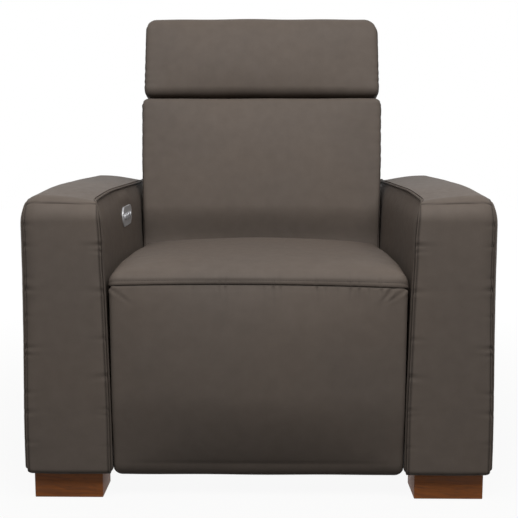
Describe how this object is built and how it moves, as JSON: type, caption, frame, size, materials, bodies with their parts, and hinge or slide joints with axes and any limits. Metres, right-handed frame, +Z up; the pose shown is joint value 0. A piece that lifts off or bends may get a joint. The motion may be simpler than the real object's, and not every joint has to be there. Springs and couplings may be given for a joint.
{
  "type": "cinema recliner seat",
  "caption": "Power recliner armchair with padded leather arms, lifting footrest panel, reclining back, tilting headrest and wooden block feet.",
  "frame": {"origin": "on the floor, under the middle of the chair's bounding box", "axes": "+Z up, -Y the way the chair faces, +X towards the sitter's left arm; the control plate is on the arm at -X"},
  "size_m": [0.965, 0.9136, 1.0594],
  "materials": {
    "leather": "smooth, semi-matt",
    "walnut": "satin lacquer",
    "plywood": "bare",
    "black_steel": "satin black paint",
    "zinc_steel": "zinc plated",
    "black_nylon": "fine matt",
    "silver_trim": "satin"
  },
  "bodies": {
    "base": {"foot_front_left": "walnut", "foot_front_right": "walnut", "foot_rear_left": "walnut", "foot_rear_right": "walnut", "foot_bolts": "zinc_steel", "arm_cover_left": "leather", "arm_cover_right": "leather", "arm_inner_panel_left": "plywood", "arm_inner_panel_right": "plywood", "arm_frame_left": "plywood", "arm_frame_right": "plywood", "front_stretcher": "plywood", "rear_stretcher": "plywood", "stretcher_bolts": "zinc_steel", "glide_track_left": "black_steel", "glide_track_right": "black_steel", "rear_valance": "leather", "control_plate": "silver_trim", "control_housing": "black_nylon", "power_unit": "black_nylon", "power_inlet": "black_nylon"},
    "seat": {"side_plate_left": "black_steel", "side_plate_right": "black_steel", "glide_blocks": "black_nylon", "carriage_tubes": "black_steel", "seat_front_rail": "plywood", "seat_rear_rail": "plywood", "seat_side_rails": "plywood", "seat_springs": "zinc_steel", "seat_cushion": "leather", "footrest_hinge_brackets": "black_steel", "footrest_motor": "black_nylon", "footrest_drive_rail": "zinc_steel", "recline_motor": "black_nylon", "recline_drive_rail": "zinc_steel", "shaft_bushes": "black_nylon"},
    "footrest": {"footrest_pad": "leather", "footrest_board": "plywood", "footrest_brackets": "black_steel"},
    "torque_shaft": {"torque_shaft": "black_steel"},
    "push_links": {"push_links": "zinc_steel"},
    "footrest_nut": {"footrest_drive_nut": "black_nylon"},
    "recline_nut": {"recline_drive_nut": "black_nylon"},
    "back": {"back_cushion": "leather", "back_shell": "leather", "back_posts": "plywood", "back_rails": "plywood", "back_springs": "zinc_steel", "back_pivot_brackets": "black_steel", "recline_shaft": "black_steel", "headrest_hinge_arms": "black_steel"},
    "headrest": {"headrest_cushion": "leather", "headrest_board": "plywood", "headrest_hinge_leaves": "zinc_steel"},
    "button_back_down": {"button_back_down": "silver_trim"},
    "button_back_up": {"button_back_up": "silver_trim"},
    "button_feet_up": {"button_feet_up": "silver_trim"},
    "button_feet_down": {"button_feet_down": "silver_trim"}
  },
  "joints": [
    {"name": "seat_glide", "type": "slide", "parent": "base", "child": "seat", "axis": [0, -1, 0], "range_m": [0, 0.1]},
    {"name": "footrest_lift", "type": "hinge", "parent": "seat", "child": "footrest", "pos_m": [0, -0.41781, 0.428], "axis": [-1, 0, 0], "range_deg": [0, 85]},
    {"name": "torque_turn", "type": "hinge", "parent": "seat", "child": "torque_shaft", "pos_m": [0, -0.25381, 0.3], "axis": [-1, 0, 0], "range_deg": [0, 85]},
    {"name": "push_link_turn", "type": "hinge", "parent": "torque_shaft", "child": "push_links", "pos_m": [0, -0.1817, 0.18], "axis": [-1, 0, 0], "range_deg": [-85, 0]},
    {"name": "footrest_nut_slide", "type": "slide", "parent": "seat", "child": "footrest_nut", "axis": [0, -1, 0], "range_m": [0, 0.1095]},
    {"name": "back_recline", "type": "hinge", "parent": "seat", "child": "back", "pos_m": [0, 0.2, 0.35], "axis": [-1, 0, 0], "range_deg": [0, 40]},
    {"name": "recline_nut_slide", "type": "slide", "parent": "seat", "child": "recline_nut", "axis": [0, -1, 0], "range_m": [0, 0.06845]},
    {"name": "headrest_tilt", "type": "hinge", "parent": "back", "child": "headrest", "pos_m": [0, 0.23039, 0.88794], "axis": [1, 0, 0], "range_deg": [0, 35]},
    {"name": "press_back_down", "type": "slide", "parent": "base", "child": "button_back_down", "axis": [-1, 0, 0], "range_m": [0, 0.0015], "stiffness_N_per_m": 600},
    {"name": "press_back_up", "type": "slide", "parent": "base", "child": "button_back_up", "axis": [-1, 0, 0], "range_m": [0, 0.0015], "stiffness_N_per_m": 600},
    {"name": "press_feet_up", "type": "slide", "parent": "base", "child": "button_feet_up", "axis": [-1, 0, 0], "range_m": [0, 0.0015], "stiffness_N_per_m": 600},
    {"name": "press_feet_down", "type": "slide", "parent": "base", "child": "button_feet_down", "axis": [-1, 0, 0], "range_m": [0, 0.0015], "stiffness_N_per_m": 600}
  ],
  "couplings": [
    {"joint": "seat_glide", "follows": "back_recline", "m_per_rad": 0.14324},
    {"joint": "recline_nut_slide", "follows": "back_recline", "m_per_rad": 0.097982},
    {"joint": "torque_turn", "follows": "footrest_lift", "ratio": 1},
    {"joint": "push_link_turn", "follows": "footrest_lift", "ratio": -1},
    {"joint": "footrest_nut_slide", "follows": "footrest_lift", "m_per_rad": 0.073774}
  ]
}
